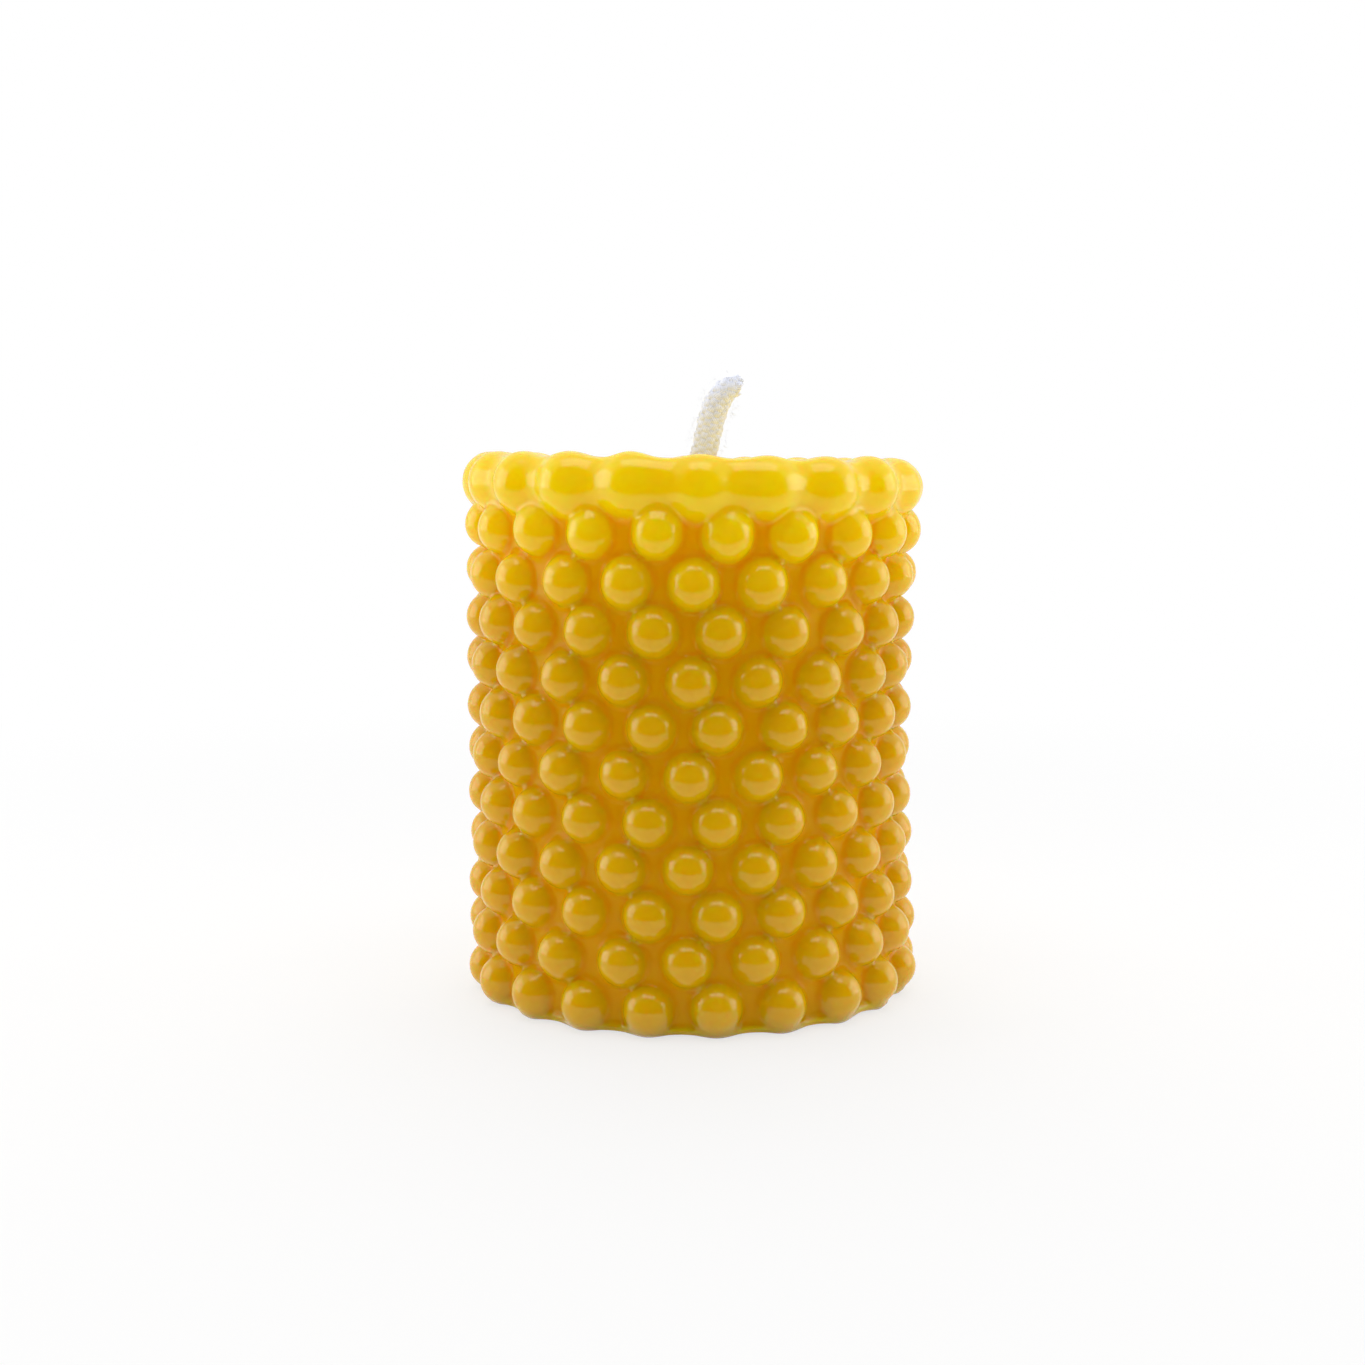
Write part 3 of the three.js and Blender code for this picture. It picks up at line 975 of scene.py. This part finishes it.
def add_floor():
    """A white floor that keeps the candle's shadow and fades into the white background. The
    gloss doesn't see it far in front of the candle."""
    half = FLOOR_SIZE / 2
    corners = ((-half, -half), (half, -half), (half, half), (-half, half))
    points = np.array([(x, y, -FLOOR_DROP) for x, y in corners])
    floor = new_piece("floor", points, [(0, 1, 2, 3)])
    material, tree, shader = new_material("studio_floor")
    set_inputs(shader, Base_Color=(0.86, 0.86, 0.86, 1.0), Roughness=0.9, Specular_IOR_Level=0.1)
    white = add_node(tree, "ShaderNodeEmission")
    dark = add_node(tree, "ShaderNodeEmission", Strength=0.0)
    place = add_node(tree, "ShaderNodeTexCoord").outputs["Object"]
    away = add_node(tree, "ShaderNodeVectorMath", operation="LENGTH")
    tree.links.new(place, away.inputs[0])
    fade = remap(tree, away.outputs["Value"], SHADOW_FROM, SHADOW_TO, 0.7, 1.0)
    near = remap(tree, parts_of(tree, place)["Y"], GLOSS_FLOOR_FROM, GLOSS_FLOOR_TO)
    direct, mirrored = seen_directly(tree)
    hidden = maths(tree, "MULTIPLY", mirrored, maths(tree, "SUBTRACT", 1.0, near))
    seen = maths(tree, "ADD", direct, maths(tree, "MULTIPLY", mirrored, near))
    shaded = blended(tree, hidden, shader, dark)
    whole = blended(tree, maths(tree, "MULTIPLY", fade, seen), shaded, white)
    tree.links.new(whole.outputs[0], tree.nodes["Material Output"].inputs["Surface"])
    floor.data.materials.append(material)


def add_softbox(name, location, size, power):
    """A lamp with a flat white face that is turned to the candle."""
    lamp = bpy.data.lights.new(name, "AREA")
    lamp.shape = "RECTANGLE"
    lamp.size, lamp.size_y = size
    lamp.energy = power
    holder = bpy.data.objects.new(name, lamp)
    holder.location = location
    aim = Vector(LAMP_TARGET) - Vector(location)
    holder.rotation_euler = aim.to_track_quat("-Z", "Y").to_euler()
    bpy.context.scene.collection.objects.link(holder)


def light_room(stage):
    """A white room, dark to the gloss where the camera stands. It shows white behind the
    candle."""
    world = bpy.data.worlds.new("white_room")
    world.use_nodes = True
    tree = world.node_tree
    ray = add_node(tree, "ShaderNodeTexCoord").outputs["Generated"]
    lights = (
        ((0, 1, 0), stage.behind),
        ((0, 1, 1), stage.above),
        ((0, -1, 0), stage.before),
    )
    level = 0.0
    for way, strength in lights:
        along = add_node(tree, "ShaderNodeVectorMath", operation="DOT_PRODUCT")
        tree.links.new(ray, along.inputs[0])
        along.inputs[1].default_value = Vector(way).normalized()
        towards = maths(tree, "MAXIMUM", along.outputs["Value"], 0.0)
        lobe = maths(tree, "MULTIPLY", towards, towards)
        level = maths(tree, "ADD", level, maths(tree, "MULTIPLY", lobe, strength))
    reflected = remap(tree, parts_of(tree, ray)["Y"], -0.5, -0.05, 0.0, stage.mirrored)
    direct, mirrored = seen_directly(tree)
    room = tree.nodes["Background"]
    room.inputs["Color"].default_value = (1.0, 1.0, 1.0, 1.0)
    tree.links.new(level, room.inputs["Strength"])
    shown = add_node(tree, "ShaderNodeBackground", Color=(1.0, 1.0, 1.0, 1.0))
    tree.links.new(maths(tree, "MAXIMUM", reflected, direct), shown.inputs["Strength"])
    whole = blended(tree, maths(tree, "ADD", direct, mirrored), room, shown)
    tree.links.new(whole.outputs[0], tree.nodes["World Output"].inputs["Surface"])
    bpy.context.scene.world = world


def place_camera(stage):
    """The camera in front of the candle, a little over its middle."""
    camera = bpy.data.objects.new("camera", bpy.data.cameras.new("camera"))
    camera.data.sensor_width = 36.0
    camera.data.lens = stage.lens
    camera.data.clip_start = 10 * MM
    camera.data.clip_end = 20.0
    bpy.context.scene.collection.objects.link(camera)
    turn = Matrix.Rotation(stage.heading, 4, "Z")
    stand = Matrix.Translation((-stage.offset, -stage.distance, stage.eye_height))
    level = Matrix.Rotation(math.pi / 2 - stage.pitch, 4, "X")
    camera.matrix_world = turn @ stand @ level
    bpy.context.scene.camera = camera


class CANDLE_OT_stage(bpy.types.Operator):
    """Build the floor, the lamps, the room and the camera"""

    bl_idname = "candle.stage"
    bl_label = "Studio"

    def execute(self, context):
        stage = context.scene.candle_stage
        context.scene.view_settings.view_transform = "Standard"
        place_camera(stage)
        light_room(stage)
        add_floor()
        add_softbox("overhead", OVERHEAD_PLACE, OVERHEAD_SIZE, stage.overhead)
        across, back, up = SIDE_PLACE
        add_softbox("left", (-across, back, up), SIDE_SIZE, stage.sides)
        add_softbox("right", (across, back, up), SIDE_SIZE, stage.sides)
        return {"FINISHED"}


class CANDLE_PT_sidebar(bpy.types.Panel):
    """Sizes and looks of the candle"""

    bl_idname = "CANDLE_PT_sidebar"
    bl_label = "Candle"
    bl_space_type = "VIEW_3D"
    bl_region_type = "UI"
    bl_category = "Candle"

    def draw(self, context):
        layout = self.layout
        for key, group in GROUPS.items():
            box = layout.box()
            box.label(text=group.__doc__)
            for name in group.__annotations__:
                box.prop(getattr(context.scene, key), name)
        for operator in OPERATORS:
            layout.operator(operator.bl_idname)


GROUPS = {
    "candle_wax": CandleWaxSizes,
    "candle_wax_look": CandleWaxLook,
    "candle_wick": CandleWickSizes,
    "candle_wick_look": CandleWickLook,
    "candle_stage": CandleStage,
}
OPERATORS = (CANDLE_OT_wax, CANDLE_OT_wick, CANDLE_OT_stage)


def register():
    """Adds the candle's sizes, operators and panel."""
    for key, group in GROUPS.items():
        bpy.utils.register_class(group)
        setattr(bpy.types.Scene, key, PointerProperty(type=group))
    for cls in (*OPERATORS, CANDLE_PT_sidebar):
        bpy.utils.register_class(cls)


def unregister():
    """Takes them out again, last first."""
    for cls in (CANDLE_PT_sidebar, *reversed(OPERATORS)):
        bpy.utils.unregister_class(cls)
    for key, group in reversed(GROUPS.items()):
        delattr(bpy.types.Scene, key)
        bpy.utils.unregister_class(group)


def main():
    """Builds the candle in its studio."""
    register()
    bpy.ops.candle.wax()
    bpy.ops.candle.wick()
    bpy.ops.candle.stage()


if __name__ == "__main__":
    main()
